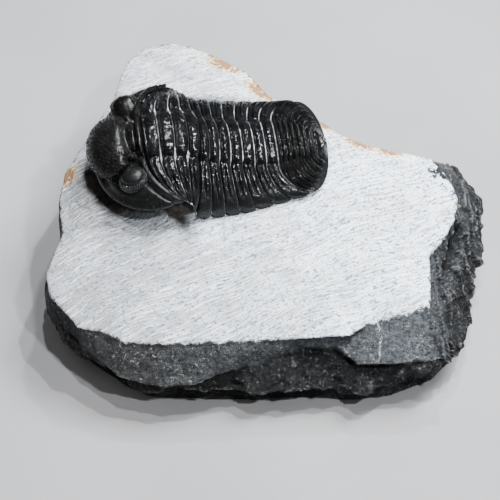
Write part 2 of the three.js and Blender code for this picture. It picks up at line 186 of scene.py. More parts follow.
def convexity(mesh, rounds):
    """How far each vertex stands proud of its neighbours, spread over a few of them."""
    ends = np.zeros(2 * len(mesh.edges), int)
    mesh.edges.foreach_get("vertices", ends)
    first, second = ends.reshape(-1, 2).T
    degree = np.bincount(ends, minlength=len(mesh.vertices))

    def average(values):
        total = np.bincount(first, values[second], len(values))
        total += np.bincount(second, values[first], len(values))
        return total / np.maximum(degree, 1)

    points = coordinates(mesh) / MM
    means = np.column_stack([average(points[:, axis]) for axis in range(3)])
    for _ in range(rounds):
        means = np.column_stack([average(means[:, axis]) for axis in range(3)])
    return np.sum((points - means) * coordinates(mesh, name="normal"), axis=1)


rock = fine_copy("matrix", ROCK_GRAIN)
rock.name = "limestone_block"
points = coordinates(rock) / MM
normals = coordinates(rock, name="normal")
inset, level = edge_distance(points, GROUND_EDGE)
below = level - points[:, 2]
on_top = (inset > 0) & ((normals[:, 2] > 0.55) | (below < 0.3)) & (below < 3)
ground = np.where(on_top, inset, -np.hypot(np.minimum(inset, 0), np.maximum(below, 0)))
ground = np.where((inset > 0) & ~on_top & (points[:, 2] > 17), 3, ground)   # moat and neck
broken = smooth(0.3, -0.8, ground)


def scars(points, size, seed):
    """Shallow scoops with sharp ridges between them, 0 in their middles and about 1 on ridges."""
    spread = np.ptp(points, axis=0)
    count = int(np.prod(spread) / size**3)
    tree = kdtree.KDTree(count)
    middles = points.min(0) + np.random.default_rng(seed).random((count, 3)) * spread
    for index, middle in enumerate(middles):
        tree.insert(middle, index)
    tree.balance()
    return np.clip(np.array([tree.find(p)[2] for p in points]) / (0.75 * size), 0, 1.3) ** 2


wander = np.column_stack([roughness_of(points + 40 * axis, 3.5, 3) for axis in range(3)])
right = smooth(30, 38, points[:, 0]) * smooth(12, 4, points[:, 1])
under = smooth(0.3, -0.7, points[:, 2] - edge_distance(points, ARRIS)[1])
chips = 1 - np.minimum(scars(points + 1.2 * wander, CHIP_SIZE, 3), 1)
nicks = 1 - np.minimum(scars(points + 0.8 * wander, 0.35 * CHIP_SIZE, 5), 1)
layers = (points @ LAYER_NORMAL) / LAYER_PITCH + 0.9 * roughness_of(points * (1, 0.22, 1), 5, 3)
cleft_line = CLEFT[1] - CLEFT[0]
along = np.clip((points - CLEFT[0]) @ cleft_line / np.sum(cleft_line**2), 0, 1)
cleft = np.linalg.norm(points - CLEFT[0] - along[:, None] * cleft_line, axis=1)
cleft += 0.5 * wander[:, 0]
rock_relief = -broken * (
    (BEVEL_DEPTH * (1 - under) + CHIP_DEPTH * under) * (1 - 0.75 * right) * chips
    + (0.3 + 0.5 * under) * nicks
    - 0.12 * roughness_of(points, 1.2, 3)
    + right * LAYER_STEP * (layers % 1) * smooth(1.0, 0.85, layers % 1)
    + right * 0.35 * LAYER_STEP * (3.1 * layers % 1) * smooth(1.0, 0.8, 3.1 * layers % 1)
    + CLEFT_DEPTH * bell(cleft, 0, CLEFT_WIDTH) * smooth(30, 34, points[:, 0])
)
rock_relief += (1 - broken) * 0.1 * roughness_of(points, 7, 2)
rock_relief *= smooth(0, 2.5, points[:, 2])            # the foot of the sides stays in place
points += rock_relief[:, None] * normals
points[:, 2] = np.where(points[:, 2] < 0.3, 0, points[:, 2])
low, high = (np.array(corner)[:2] / MM for corner in CAD_BOX)
points[:, :2] = np.clip(points[:, :2], low - SIDE_LIMIT, high + SIDE_LIMIT)
rock.vertices.foreach_set("co", (points * MM).ravel())
rock.update()
corners = np.zeros(4 * len(rock.polygons), int)
rock.polygons.foreach_get("vertices", corners)
rock.polygons.foreach_set("use_smooth", broken[corners.reshape(-1, 4)].min(axis=1) < 0.5)
put(rock, "ground", ground)
put(rock, "rust", 1.35 * spots(points, RUST_SPOTS) * smooth(7, 1, np.abs(ground)))
put(rock, "bare", spots(points, BARE_SPOTS))
put(rock, "arris", convexity(rock, 2))
x, y, z = points.T
left_edge = x + 0.35 * np.minimum(y + 35, 5) + 3 * smooth(-28, 0, y) * wander[:, 0]
left_face = smooth(-38.2, -39.8, left_edge)
# painted shade: the undercut below the arris and the steep left face, shaded from the lamps above,
# are marked to be painted near black; the right side is darkened with them
put(rock, "painted_side_shade", np.maximum.reduce([under, 0.75 * right, left_face]))
# painted shade: the deep cleft on the right is marked to be painted near black
put(rock, "painted_cleft_shade", 0.8 * bell(cleft, 0, CLEFT_WIDTH))
# Painted shadow under the raised head, and painted shade round the shell's foot and in its gaps.
fossil_points = np.concatenate([
    coordinates(shell.data) / MM for node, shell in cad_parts.items() if node != "matrix"])
shell_tree = kdtree.KDTree(len(fossil_points))
for index, point in enumerate(fossil_points):
    shell_tree.insert(point, index)
shell_tree.balance()
gap = np.array([shell_tree.find(p)[2] for p in points])
head_shadow = smooth(5.0, 3.7, gap) * smooth(-14, -19, x) * smooth(6, 1, y)
shell_foot_shade = 0.4 * smooth(1.2, 0.4, gap)
core_shade = smooth(CORE_HEIGHT - 0.4, CORE_HEIGHT + 0.4, z) * smooth(3, 2, gap)
put(rock, "foot", np.maximum.reduce([head_shadow, shell_foot_shade, core_shade]))


class Tone:
    """A socket of a finish.  Sums and products of tones add Math nodes to its tree."""

    def __init__(self, tree, socket=None):
        self.tree, self.socket = tree, socket

    def node(self, kind, settings=None, values=None, out=0):
        """Adds a node: its settings first, then the values or links of its sockets."""
        made = self.tree.nodes.new(kind)
        for name, value in (settings or {}).items():
            setattr(made, name, value)
        for name, value in (values or {}).items():
            if isinstance(value, Tone):
                self.tree.links.new(value.socket, made.inputs[name])
            else:
                made.inputs[name].default_value = value
        return Tone(self.tree, made.outputs[out] if made.outputs else None)

    def maths(self, operation, *values):
        sockets = dict(enumerate((self, *values)))
        return self.node("ShaderNodeMath", {"operation": operation}, sockets)

    def __add__(self, other):
        return self.maths("ADD", other)

    def __sub__(self, other):
        return self.maths("SUBTRACT", other)

    def __rsub__(self, other):
        return self.maths("MULTIPLY", -1) + other

    def __mul__(self, other):
        return self.maths("MULTIPLY", other)

    __radd__ = __add__
    __rmul__ = __mul__

    def rise(self, low, high):
        """0 below low, 1 above high, eased in between."""
        return self.node("ShaderNodeMapRange", {"interpolation_type": "SMOOTHSTEP"},
                         {"Value": self, "From Min": low, "From Max": high})

    def shade(self, dark, light):
        """A colour from dark to light, as this tone goes from 0 to 1."""
        return self.node("ShaderNodeMix", {"data_type": "RGBA"},
                         {0: self, 6: dark, 7: light}, out=2)

    def grain(self, size, detail=2.0, roughness=0.5):
        """Noise over these coordinates with features of a size in millimetres."""
        return self.node("ShaderNodeTexNoise", None, {
            "Vector": self, "Scale": 1 / (size * MM), "Detail": detail, "Roughness": roughness})

    def attribute(self, name):
        return self.node("ShaderNodeAttribute", {"attribute_name": name}, out=2)

    def place(self):
        return self.node("ShaderNodeTexCoord", out=3)

    def axis(self, index):
        return self.node("ShaderNodeSeparateXYZ", None, {0: self}, out=index)

    def bump(self, distance):
        """This tone as fine relief of a height in millimetres."""
        return self.node("ShaderNodeBump", None, {"Height": self, "Distance": distance * MM})


def new_finish(name):
    material = bpy.data.materials.new(name)
    material.use_nodes = True
    material.node_tree.nodes.clear()
    return material, Tone(material.node_tree)


def close_finish(start, values):
    surface = start.node("ShaderNodeBsdfPrincipled", None, values)
    start.node("ShaderNodeOutputMaterial", None, {"Surface": surface})


def grey(value, blue=0.0):
    """A neutral colour, cooler for a positive blue and browner for a negative one."""
    return (value * (1 - blue), value, value * (1 + blue), 1)


SCRATCH_TURN = math.radians(25)    # direction of the abrasive's strokes, from +X
VEIN_X = 22.4                      # a thin calcite vein crosses the front bevel here
VEIN_WIDTH = 0.27
VEIN_FOOT = 12.0                   # the height at which it ends
HAIRLINE_SLOPE, HAIRLINE_Y = 0.2, -3.7    # a hairline crack near the left edge of the top
SPECK = (0.10, 0.13, 0.18, 1)      # blue-grey grains and cracks in the white top


def limestone_finish():
    material, start = new_finish("limestone")
    place = start.place()
    x, y, z = (place.axis(index) for index in range(3))
    drift = place.node("ShaderNodeTexNoise", None,
                       {"Vector": place, "Scale": 45.0, "Detail": 1.0}, out=1)
    swirl = place.node("ShaderNodeVectorMath", {"operation": "MULTIPLY_ADD"},
                       {0: drift, 1: (0.005, 0.005, 0.0), 2: place})

    def strokes(length, width, detail):
        """Noise drawn out along the strokes of the abrasive, sizes in millimetres."""
        drawn = swirl.node("ShaderNodeMapping", {"vector_type": "TEXTURE"}, {
            "Vector": swirl, "Rotation": (0.0, 0.0, SCRATCH_TURN),
            "Scale": (length, width, 0.5 * length)})
        return drawn.grain(1.0, detail)

    ground = start.attribute("ground")
    ragged = place.grain(1.3, 3) * 2.4 + place.grain(0.35, 2) * 1.0 - 1.7
    bare = start.attribute("bare") * place.grain(2.0, 3).rise(0.42, 0.6) * 1.6
    abraded = (ground + ragged).rise(-0.25, 0.3) * (1 - bare.rise(0.3, 0.6))

    # abraded top: chalky white with blue-grey and brown specks drawn out along the strokes
    cloud = place.grain(9, 3).rise(0.35, 0.7)
    # painted light: the top is painted darker on the left and lighter and bluer on the right, as
    # light falls from the right
    side = x.rise(-0.045, 0.03)
    white = (side * 0.75 + cloud * 0.25).shade(grey(0.26, 0.0), grey(0.92, 0.085))
    long_strokes = strokes(5.0, 0.28, 2.0)
    white = (long_strokes.rise(0.47, 0.62) * 0.65).shade(white, grey(0.24, 0.07))
    white = (long_strokes.rise(0.46, 0.30) * 0.7).shade(white, grey(0.96, 0.02))
    specks = strokes(1.0, 0.40, 1.0).rise(0.58, 0.66)
    white = (specks * 0.9).shade(white, SPECK)
    crumbs = place.grain(0.42, 1).rise(0.58, 0.68)
    white = (crumbs * 0.8).shade(white, (0.17, 0.19, 0.22, 1))
    tan = place.grain(1.1, 2).rise(0.60, 0.72) * place.grain(12, 1).rise(0.4, 0.6)
    white = (tan * 0.45).shade(white, (0.50, 0.38, 0.24, 1))
    rust = (start.attribute("rust") * 0.8 + place.grain(1.0, 4, 0.65) * 2.4).rise(1.45, 1.85)
    white = (rust * 0.75).shade(white, (0.70, 0.52, 0.27, 1))
    ember = (start.attribute("rust") * 0.7 + place.grain(0.7, 3, 0.6) * 2.4).rise(1.65, 1.9)
    white = (ember * 0.85).shade(white, (0.16, 0.06, 0.02, 1))

    line = (y - x * HAIRLINE_SLOPE + place.grain(2.0, 3) * 0.0032 - (HAIRLINE_Y + 1.6) * MM)
    hairline = line.maths("ABSOLUTE").rise(0.0003, 0.0001) * x.rise(-0.0375, -0.0395)
    white = (hairline * place.grain(0.8, 2).rise(0.3, 0.5) * 0.8).shade(white, SPECK)

    # broken sides: dark crystalline stone, paler where its arrises are bruised
    crystal = place.grain(0.8, 4, 0.68)
    painted_side_shade = start.attribute("painted_side_shade")
    # painted light: the dark stone is also painted lighter and bluer towards the right
    dark = crystal.rise(0.32, 0.72).shade(
        side.shade(grey(0.010), grey(0.022, 0.03)), side.shade(grey(0.050), grey(0.108, 0.12)))
    glitter = place.grain(0.22, 1).rise(0.62, 0.72) * place.grain(2.4, 2).rise(0.40, 0.65)
    dark = (glitter * 0.5).shade(dark, grey(0.30, 0.02))
    arris = (start.attribute("arris") + place.grain(0.5, 2) * 0.5).rise(0.36, 0.75)
    # painted shade: near black stone on the shaded undercut and left face, and on the right side
    shaded_stone = crystal.rise(0.4, 0.85).shade(grey(0.002), grey(0.028, 0.02))
    dark = (painted_side_shade * 0.9).shade(dark, shaded_stone)
    dark = (arris * 0.6).shade(dark, grey(0.19, -0.02))
    chalk = place.grain(0.6, 3, 0.6).rise(0.56, 0.66) * place.grain(3.5, 2).rise(0.38, 0.60)
    dark = (chalk * (1 - 0.5 * painted_side_shade) * 0.7).shade(dark, grey(0.30, 0.0))
    glassy = place.grain(0.9, 1).rise(0.64, 0.68) * place.grain(5, 1).rise(0.4, 0.6)
    # painted shade inside the cleft
    dark = start.attribute("painted_cleft_shade").shade(dark, grey(0.002))
    vein = (x + place.grain(2.5, 2) * 0.0022 - (VEIN_X + 1.1) * MM).maths("ABSOLUTE")
    vein = vein.rise(VEIN_WIDTH * MM, 0.25 * VEIN_WIDTH * MM)
    vein *= z.rise((VEIN_FOOT - 0.5) * MM, (VEIN_FOOT + 0.5) * MM)
    vein *= place.grain(0.7, 2).rise(0.38, 0.5)
    dark = (vein * 0.75).shade(dark, grey(0.50, 0.02))
    ochre = place.grain(3.0, 3).rise(0.68, 0.74) * place.grain(0.6, 2).rise(0.4, 0.6)
    dark = (ochre * 0.6).shade(dark, (0.30, 0.23, 0.13, 1))

    # painted shadow: dark brown under the head, in the moat by the shell and in its gaps
    painted_shadow = start.attribute("foot") * (0.75 + 0.5 * place.grain(0.8, 3))
    shadow_brown = place.grain(1.6, 3).rise(0.35, 0.7).shade(
        (0.008, 0.006, 0.005, 1), (0.034, 0.026, 0.020, 1))
    stone = painted_shadow.shade(abraded.shade(dark, white), shadow_brown)

    relief = (1 - abraded) * (crystal * 1.3 + place.grain(0.2, 2) * 0.5)
    relief += abraded * (long_strokes * 0.16 + place.grain(0.3, 2) * 0.16)
    rough = (1 - abraded) * (0.42 + 0.45 * place.grain(0.4, 2) - 0.35 * glassy) + abraded * 0.88
    close_finish(start, {"Base Color": stone, "Roughness": rough, "Normal": relief.bump(0.55),
                         "Specular IOR Level": 0.34})
    return material


LIMESTONE = limestone_finish()
add_piece(rock, "limestone", LIMESTONE, "matrix")

# ---------------------------------------------------------------- stone between the tergites
# Between the plates of the back a thin line of the pale stone was left in each joint, widest
# where the axis meets the pleurae.  It is part of the rock under the shell.

FOSSIL_ORIGIN = np.array((1.1, 5.9, 26.9))
FOSSIL_YAW, FOSSIL_ROLL = math.radians(7.7), math.radians(3.4)
# One value for each of the twelve joints, from pygidium to cephalon.
JOINT_PITCH = np.radians([3, 7, 10.5, 13, 15, 16.5, 18, 19.5, 18, 10, 2, -6])
HALF_WIDTH = [12.7, 13.2, 13.8, 14.4, 14.9, 15.2, 15.5, 15.8, 16.1, 16.3, 16.4, 16.4]
PLEURA_DROP = [1.8, 2.5, 3.4, 4.4, 5.3, 6, 6.5, 6.8, 6.8, 6.7, 6.6, 6.5]
RING_RISE = [1.8, 2, 2.2, 2.4, 2.5, 2.6, 2.7, 2.7, 2.7, 2.8, 2.8, 2.8]
TIP_SWEEP = [6.4, 5, 3.9, 3.2, 2.7, 2.1, 1.4, 0.2, 2.4, 4.9, 7.6, 10.4]
SEGMENT_LENGTH = [2.55, 2.6, 2.7, 2.65, 2.5, 2.3, 2.25, 2.5, 2.7, 2.9, 3.05]
AXIS = 5.9                         # half the width of the ringed middle lobe
BROKEN_JOINT, BREAK_STEP = 7, 1.3
PLEURA_TURN = math.radians(86)
RING_TURN = math.radians(76)       # a ring's arch stops short of upright at the pleura
SWEEP_POWER = 1.8
SEGMENTS = len(SEGMENT_LENGTH)

FORWARD = np.array((-math.cos(FOSSIL_YAW), -math.sin(FOSSIL_YAW), 0))
LEVEL_LEFT = np.array((math.sin(FOSSIL_YAW), -math.cos(FOSSIL_YAW), 0))
LEFT = LEVEL_LEFT * math.cos(FOSSIL_ROLL) - np.array((0, 0, math.sin(FOSSIL_ROLL)))
UP = LEVEL_LEFT * math.sin(FOSSIL_ROLL) + np.array((0, 0, math.cos(FOSSIL_ROLL)))

joint_along, joint_up = [0.0], [0.0]
for k, length in enumerate(SEGMENT_LENGTH):
    pitch = (JOINT_PITCH[k] + JOINT_PITCH[k + 1]) / 2
    joint_along.append(joint_along[k] + length * math.cos(pitch))
    step = BREAK_STEP if k == BROKEN_JOINT else 0
    joint_up.append(joint_up[k] + step + length * math.sin(pitch))


def from_body(along, left, up):
    along, left, up = np.broadcast_arrays(along, left, up)
    return FOSSIL_ORIGIN + along[..., None] * FORWARD + left[..., None] * LEFT + up[..., None] * UP


def station(k, t):
    """The body's section in segment k, at t from -1 at its back to 1 at its front."""
    share = (np.asarray(t) + 1) / 2
    step = BREAK_STEP if k == BROKEN_JOINT else 0

    def between(values, back=0.0):
        return (values[k] + back) * (1 - share) + values[k + 1] * share

    return {
        "along": between(joint_along), "up": between(joint_up, step),
        "pitch": between(JOINT_PITCH), "half_width": between(HALF_WIDTH), "axis": AXIS,
        "drop": between(PLEURA_DROP), "rise": between(RING_RISE),
        "sweep": between(TIP_SWEEP), "spread": 1.0,
    }


class Across:
    """Places across the back, from the right tip to the left one: share runs from 0 to 1
    outward over half the ring, and again over each pleura."""

    def __init__(self, ring_steps, pleura_steps, tip=1.0):
        pleura = np.linspace(0, 1, pleura_steps + 1)[1:] * tip
        ring = np.linspace(-1, 1, 2 * ring_steps + 1)
        self.share = np.concatenate([pleura[::-1], np.abs(ring), pleura])
        ones = np.ones(pleura_steps)
        self.side = np.concatenate([-ones, np.sign(ring), ones])
        self.on_ring = np.concatenate([0 * ones, np.ones(len(ring)), 0 * ones]) > 0


def body_point(s, across, raised):
    """Points of the back's surface, raised along its normal."""
    turn = across.share * np.where(across.on_ring, RING_TURN, PLEURA_TURN)
    pleura_out = s["axis"] + (s["half_width"] - s["axis"]) * np.sin(turn)
    out = np.where(across.on_ring, s["axis"] * np.sin(turn), pleura_out)
    height = np.where(across.on_ring, s["rise"] * np.cos(turn), -s["drop"] * (1 - np.cos(turn)))
    sweep = np.where(across.on_ring, 0, s["sweep"] * across.share**SWEEP_POWER)
    lean = np.where(across.on_ring, 0.5 * turn * across.share, turn)
    out = out + raised * np.sin(lean) * s["spread"]
    height = height + raised * np.cos(lean)
    along = s["along"] - sweep * np.cos(s["pitch"]) - height * np.sin(s["pitch"])
    up = s["up"] - sweep * np.sin(s["pitch"]) + height * np.cos(s["pitch"])
    return from_body(along, across.side * out, up)


def closed_skin(name, outer, inner):
    """A closed plate from two matching grids of points, its outer and its inner face."""
    loops = np.concatenate([outer, inner[:, ::-1]], axis=1)
    rows, size = loops.shape[:2]
    index = np.arange(rows * size).reshape(rows, size)
    turned = np.roll(index, -1, axis=1)
    quads = [np.stack([index[:-1], turned[:-1], turned[1:], index[1:]], axis=-1).reshape(-1, 4)]
    half = np.arange(size // 2 - 1)
    for row, flip in ((0, True), (rows - 1, False)):
        cap = np.stack([index[row, half], index[row, half + 1],
                        index[row, size - 2 - half], index[row, size - 1 - half]], axis=-1)
        quads.append(cap[:, ::-1] if flip else cap)
    quads = np.concatenate(quads)
    points = loops.reshape(-1, 3)
    corners = points[quads]
    crossed = np.cross(corners[:, 1] - corners[:, 0], corners[:, 2] - corners[:, 0])
    crossed += np.cross(corners[:, 2] - corners[:, 0], corners[:, 3] - corners[:, 0])
    if np.sum(crossed * (corners.mean(axis=1) - points.mean(axis=0))) < 0:
        quads = quads[:, ::-1]
    mesh = bpy.data.meshes.new(name)
    mesh.from_pydata(points * MM, [], quads.tolist())
    mesh.polygons.foreach_set("use_smooth", np.ones(len(mesh.polygons), bool))
    mesh.update()
    return mesh


def on_outside(outer_values):
    """Values over an outer face, and nothing on the inner one, in the plate's vertex order."""
    return np.concatenate([outer_values, np.zeros_like(outer_values)], axis=1).ravel()


def fill_finish():
    material, start = new_finish("joint_stone")
    place = start.place()
    pale = place.grain(0.5, 3).rise(0.3, 0.7).shade(grey(0.13, 0.08), grey(0.50, 0.03))
    pale = (place.grain(1.4, 2).rise(0.55, 0.7) * 0.5).shade(pale, (0.42, 0.36, 0.26, 1))
    close_finish(start, {"Base Color": pale, "Roughness": 0.6 + 0.3 * place.grain(0.3),
                         "Normal": place.grain(0.3, 2).bump(0.1)})
    return material


FILL_SPAN = 0.62                   # the strip of stone reaches this far each side of its joint
# How far it lies under the plates at each joint, on the rings and on the pleurae.
RING_FILL = [0.46, 0.40, 0.40, 0.41, 0.44, 0.52, 0.70, 0.95, 0.80, 0.75, 0.75]
PLEURA_FILL = [0.48, 0.40, 0.41, 0.43, 0.46, 0.50, 0.55, 0.80, 0.44, 0.44, 0.50]
FILL_LIFT = 0.50                   # less, where the axis meets the pleurae of the front half
FILL_THICKNESS = 0.5
FILL_STEPS = (24, 44)              # steps of its mesh over half a ring and over a pleura
TIP_SHARE = [1, 1, 1, 1, 1, 1, 1, 1, 0.98, 0.94, 0.88, 0.82]    # the front tips are tucked away
FILL = fill_finish()
fill_across = Across(*FILL_STEPS)
fill_furrow = np.where(fill_across.on_ring,
                       bell(fill_across.share, 1, 0.24), bell(fill_across.share, 0, 0.12))
for joint in range(SEGMENTS):
    if joint == BROKEN_JOINT:      # the step there was left open
        continue
    half = 2 * FILL_SPAN / SEGMENT_LENGTH[joint]
    front_half = smooth(6.5, 8.5, joint)
    uneven = np.array([
        noise.noise(Vector((0.17 * i, 3.1 * joint, 0))) for i in range(len(fill_furrow))])
    lift = FILL_LIFT * fill_furrow * (0.2 + 1.5 * front_half) * (0.8 + 0.6 * uneven)
    pleura_depth = PLEURA_FILL[joint] + 0.14 * smooth(0.35, 0.8, fill_across.share)
    depth = np.where(fill_across.on_ring, RING_FILL[joint], pleura_depth) - lift - 0.30 * uneven
    reach = Across(*FILL_STEPS, tip=0.97 * TIP_SHARE[joint])
    sheets = []
    for sunk in (0.0, FILL_THICKNESS):
        sheets.append(np.array([
            body_point(station(joint, shift * half - 1), reach, -depth - sunk - 0.22 * abs(shift))
            for shift in (-1, -0.5, 0, 0.5, 1)]))
    add_piece(closed_skin(f"joint_stone_{joint:02d}", *sheets), "limestone", FILL)

# ---------------------------------------------------------------- thorax
# Eleven overlapping plates of calcite, black and glossy, each with a raised ring in the middle
# and a grooved pleura on each side.  They were freed from the stone one by one, and the outer
# ends of the pleurae are dulled by the abrasive.

PLATE = 1.0                        # thickness of the shell
PLATE_GAP = 0.10                   # from the joint to the edge of the plate
PLATE_ROWS = 30


def shell_finish(name, tint, gloss):
    """Black calcite: glossy, with fine pits, pale scratches and dust left in its hollows."""
    material, start = new_finish(name)
    place = start.place()
    worn = start.attribute("worn")
    hollow = start.attribute("hollow")
    mottle = place.grain(2.2, 4).rise(0.35, 0.7)
    black = mottle.shade(grey(0.002, tint), grey(0.006, tint))
    black = (worn * (0.35 + 0.5 * place.grain(0.9, 3))).shade(black, grey(0.010, 0.03))
    dust = (hollow * 0.6 + place.grain(0.45, 3) * 0.8).rise(0.78, 1.05)
    black = (dust * 0.30).shade(black, grey(0.10, -0.05))
    flecks = place.grain(0.16, 1).rise(0.70, 0.76) * place.grain(1.6, 2).rise(0.45, 0.65)
    black = (flecks * 0.35).shade(black, grey(0.22, 0.0))
    rough = gloss + 0.15 * place.grain(0.8, 3) + 0.14 * worn + 0.2 * dust
    pits = place.grain(0.45, 2) * 0.5 + place.grain(1.3, 2)
    close_finish(start, {"Base Color": black, "Roughness": rough, "Normal": pits.bump(0.12),
                         "Specular IOR Level": 0.26})
    return material


THORAX_SHELL = shell_finish("thorax_shell", 0.06, 0.06)


def plate_relief(across, t, front):
    """Relief of a plate over its plain arch, t from -1 at its back edge to 1 at its front.
    front is 1 in the tightly flexed front half of the body and 0 behind."""
    share, edge = across.share, np.abs(t)
    crown = 0.30 * (1 - edge**2.4) - 0.26 * smooth(0.82, 1.0, edge) - 0.08 * t
    ring_furrow = -0.24 * bell(t, 0.62, 0.13)
    knob = (0.34 + 0.25 * front) * bell(share, 0.84, 0.12) * bell(t, -0.12, 0.55)
    ring = crown + ring_furrow + knob + 0.10 * bell(share, 1.0, 0.10)
    groove = -(0.50 - 0.1 * front) * bell(t, 0.30 - 0.42 * share, 0.20)
    groove = groove * smooth(0.02, 0.10, share) * smooth(0.68, 0.40, share)
    bands = 0.20 * smooth(0.0, 0.12, share) * smooth(1.0, 0.6, share)
    tucked = -0.45 * front * smooth(0.2, 0.5, share)        # under the cheek of the head
    pleura = crown * (1 - 0.55 * smooth(0.3, 0.7, share)) + groove + bands + tucked
    pleura = pleura + 0.30 * bell(share, 0.0, 0.08)
    return np.where(across.on_ring, ring, pleura)


grainy = {}
for k in range(SEGMENTS):
    name = f"thorax_segment_{SEGMENTS - k:02d}"
    front = float(smooth(5.5, 8.5, k))
    t = np.linspace(-1, 1, PLATE_ROWS)[:, None]
    plate_across = Across(34, 62, tip=TIP_SHARE[k + 1])
    on_ring, share = plate_across.on_ring, plate_across.share
    # the outer end of each pleura is rounded
    tip = np.where(on_ring, 0, smooth(0.86, 1.0, share / TIP_SHARE[k + 1]))
    narrow = (1 - PLATE_GAP * 2 / SEGMENT_LENGTH[k]) * np.sqrt(1 - (0.60 * tip) ** 2)
    section = station(k, t * narrow)
    relief = plate_relief(plate_across, t, front)
    smooth_skin = body_point(section, plate_across, relief).reshape(-1, 3)
    uneven = roughness_of(smooth_skin, 1.7, 3).reshape(relief.shape)
    relief = relief + (0.06 + 0.12 * front) * uneven
    outer = body_point(section, plate_across, relief)
    inner = body_point(section, plate_across, np.minimum(relief, 0) * 0.3 - PLATE)
    plate = closed_skin(name + "_plate", outer, inner)
    worn = np.where(on_ring, 0, smooth(0.34, 0.8, share)) * (plate_across.side > 0)
    put(plate, "worn", on_outside(worn * np.ones_like(t)))
    put(plate, "hollow", on_outside(smooth(0.05, -0.55, relief)))
    grainy_band = np.where(on_ring, smooth(1.0, 0.7, share),
                           smooth(0.02, 0.1, share) * smooth(0.55, 0.3, share))
    bumps = (0.25 + 0.75 * (1 - front)) * smooth(0.95, 0.6, np.abs(t)) * grainy_band
    put(plate, "bumps", on_outside(bumps))
    grainy[name] = add_piece(plate, "thorax_shell", THORAX_SHELL, name)

# ---------------------------------------------------------------- pygidium
# The tail shield is one plate of black calcite: eight rings down its axis, a rib for each on
# either side, and a plain border.  Fine tubercles cover all but the border.

TAIL_LENGTH = 11.2
TAIL_REACH = 5.0                   # how far the border bulges behind the joint's line
TAIL_INSET = 0.4                   # it is narrower than the last segment by this on each side
TAIL_SINK = 1.0
TAIL_TAPER = 0.6                   # share of the axis's width lost by the end
TAIL_TIP_WIDTH = 0.06
TAIL_RINGS = 8
RINGS_END = 0.9                    # the last ring ends near this share of the length
RING_CROWDING = 0.88               # below 1, rings are closer together towards the end
TAIL_ROWS = 110
tail_across = Across(36, 66)


def tail_station(t, out):
    """The tail's section at t from 0 at the thorax to 1 at its end, grown by out."""
    turn = t * math.pi / 2
    front = {name: float(value) for name, value in station(0, -1).items()}
    spread = np.maximum(np.cos(turn), TAIL_TIP_WIDTH)
    half_width = (front["half_width"] - TAIL_INSET) * spread
    return {
        "along": -TAIL_LENGTH * t, "up": -TAIL_SINK * t * t, "pitch": front["pitch"] * (1 - t),
        "half_width": half_width, "axis": np.minimum(AXIS * (1 - TAIL_TAPER * t), 0.8 * half_width),
        "drop": front["drop"] + 0.5 * t, "rise": front["rise"] * (1 - smooth(0.25, 0.88, t)),
        "sweep": front["sweep"] + (TAIL_REACH + out) * np.sin(turn) - TAIL_LENGTH * t,
        "spread": spread,
    }


t = np.linspace(0.014, 1, TAIL_ROWS)[:, None]
share, on_axis = tail_across.share, tail_across.on_ring
fade = smooth(0.95, 0.55, t)
ring_phase = TAIL_RINGS * t**RING_CROWDING / RINGS_END
rings = np.abs(np.sin(math.pi * ring_phase)) ** 0.6
ribs = rings - 0.45 * bell(ring_phase % 1, 0.42, 0.12)     # each rib has a fine groove
tail_ring = (0.95 * rings - 0.50) * fade
tail_rib = (1.45 * ribs - 0.75) * fade * smooth(0.0, 0.08, share) * smooth(0.90, 0.72, share)
tail_rib = tail_rib + 0.2 * bell(share, 0, 0.06) * fade
relief = np.where(on_axis, tail_ring, tail_rib) - 0.3 * smooth(0.06, 0.0, t)
tail = closed_skin(
    "pygidium_plate",
    body_point(tail_station(t, 0), tail_across, relief),
    body_point(tail_station(t, -PLATE), tail_across, np.full_like(relief, -PLATE)),
)
put(tail, "worn", on_outside(np.where(on_axis, 0, smooth(0.6, 0.95, share)) * np.ones_like(t)))
put(tail, "hollow", on_outside(smooth(0.0, -0.5, relief)))
grainy_band = np.where(on_axis, 1, smooth(0.88, 0.62, share))
put(tail, "bumps", on_outside(grainy_band * smooth(0.0, 0.05, t) * smooth(1.0, 0.9, t)))
TAIL_SHELL = shell_finish("tail_shell", 0.0, 0.02)
grainy["pygidium"] = add_piece(tail, "tail_shell", TAIL_SHELL, "pygidium")

# ---------------------------------------------------------------- cephalon
# The head shield is one domed plate of black calcite: the swollen glabella in front, a cheek on
# each side with a compound eye, and the occipital ring at the back.  Furrows part the lobes.

HEAD_PITCH = math.radians(-15)
HEAD_MARGIN = -4.9                 # height of the rim below the head's back joint
RIM_MIDDLE = 2.5
HEAD_HOLLOW = 0.91
GENAL_BACK = -6.2                  # the rounded rear corners reach this far behind the joint
# Lobes as centre and radii, forward, left and up from the back joint.
CHEEKS = ((-1.5, 0, HEAD_MARGIN), (13.9, 15.9, 6.1))
GLABELLA = ((6.6, 0, -1.6), (6.3, 8, 4.9))
GLABELLA_BASE = ((2.6, 0, -0.8), (4, 5.4, 3.4))
OCCIPITAL_RING = ((0.6, 0, -0.4), (1.3, 5.6, 3.1))
EYE = ((3.3, 9.6, -1.1), (3.3, 2.8, 2.7))
BASAL_LOBE = ((2.9, 5.0, 0.4), (1.1, 1.2, 1.3))
NEAREST, FARTHEST = 3.0, 24.0      # the head's outer face is looked for between these, from inside
BISECTIONS = 28
HEAD_ROWS, HEAD_COLUMNS = 130, 250


def from_head(forward, left, up):
    cos, sin = math.cos(HEAD_PITCH), math.sin(HEAD_PITCH)
    return from_body(joint_along[-1] + forward * cos - up * sin, left,
                     joint_up[-1] + forward * sin + up * cos)


def lobe(p, centre, radii):
    """Distance of points outside an ellipsoid, along the line to its middle."""
    offset = p - np.array(centre)
    scaled = np.linalg.norm(offset / np.array(radii), axis=-1)
    return (scaled - 1) * np.linalg.norm(offset, axis=-1) / np.maximum(scaled, 1e-6)


def weld(first, second, depth, width):
    """Two lobes joined, with a furrow of that depth and width between them."""
    return np.minimum(first, second) + depth * bell(first - second, 0, width)


